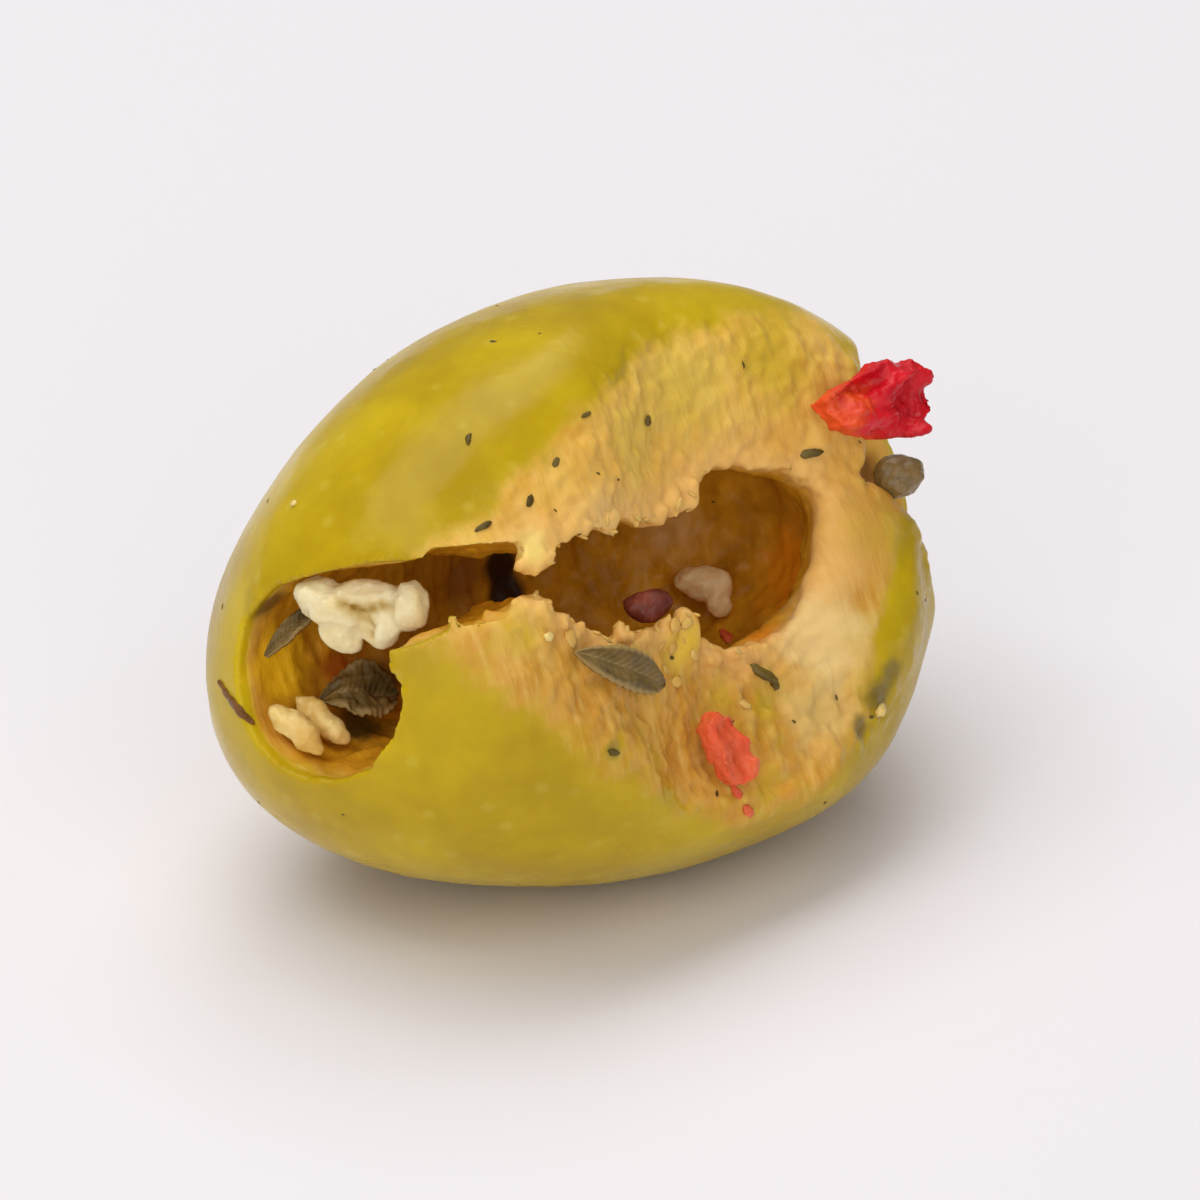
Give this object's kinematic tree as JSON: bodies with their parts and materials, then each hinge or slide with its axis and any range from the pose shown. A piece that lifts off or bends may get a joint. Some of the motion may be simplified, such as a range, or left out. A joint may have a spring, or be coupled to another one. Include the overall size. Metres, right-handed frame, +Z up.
{
  "type": "marinated green olive",
  "caption": "Green table olive, pitted and torn open to its hollow, lying on its side with bits of garlic, red pepper, red onion and herb clinging to it",
  "frame": {"origin": "middle of the small flat spot that the olive lies on", "axes": "+X along the fruit from the pit hole to the tip, -Y towards the torn face, +Z up"},
  "size_m": [0.0305, 0.0212, 0.0215],
  "materials": {
    "olive": "oily yellow-green fruit skin and moist tan flesh",
    "garlic": "moist cream garlic",
    "garlic_glassy": "oil-soaked, half clear garlic",
    "pepper": "wet red pepper skin",
    "onion": "wet purple onion",
    "herb": "dried leaf softened in oil"
  },
  "bodies": {
    "root": {"olive": "olive", "garlic_lump": "garlic", "garlic_sliver_front": "garlic", "garlic_sliver_back": "garlic", "garlic_bit_hollow": "garlic", "garlic_bit_rim": "garlic_glassy", "pepper_flake_rim": "pepper", "pepper_flake_face": "pepper", "onion_bit": "onion", "herb_leaf_lip": "herb", "herb_leaf_hole": "herb", "herb_leaf_floor": "herb"}
  },
  "joints": []
}
